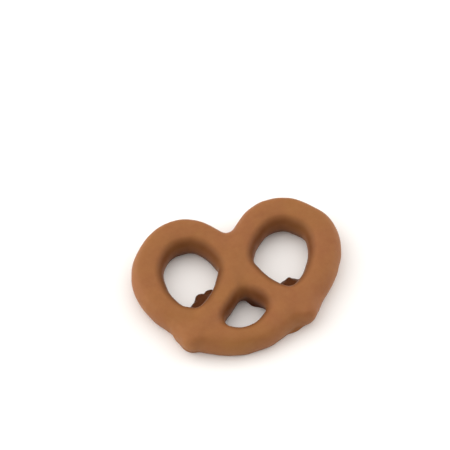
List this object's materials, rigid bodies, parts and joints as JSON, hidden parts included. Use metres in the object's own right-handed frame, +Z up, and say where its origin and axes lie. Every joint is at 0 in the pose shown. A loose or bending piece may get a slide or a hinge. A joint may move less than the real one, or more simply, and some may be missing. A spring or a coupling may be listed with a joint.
{
  "type": "chocolate covered pretzel",
  "caption": "Small pretzel twist in a smooth milk chocolate coat, lying flat, with two lobe holes and a small one under the crossed arms.",
  "frame": {"origin": "the middle of the pretzel's outline seen from above, on the surface that it lies on", "axes": "+Z up out of the surface it lies on, +Y from the belly towards the two lobes, +X towards the right lobe, which is the one whose strand passes over at the twist"},
  "size_m": [0.0454, 0.0354, 0.0061],
  "materials": {
    "milk_chocolate": "satin"
  },
  "bodies": {
    "root": {"pretzel": "milk_chocolate"}
  },
  "joints": []
}
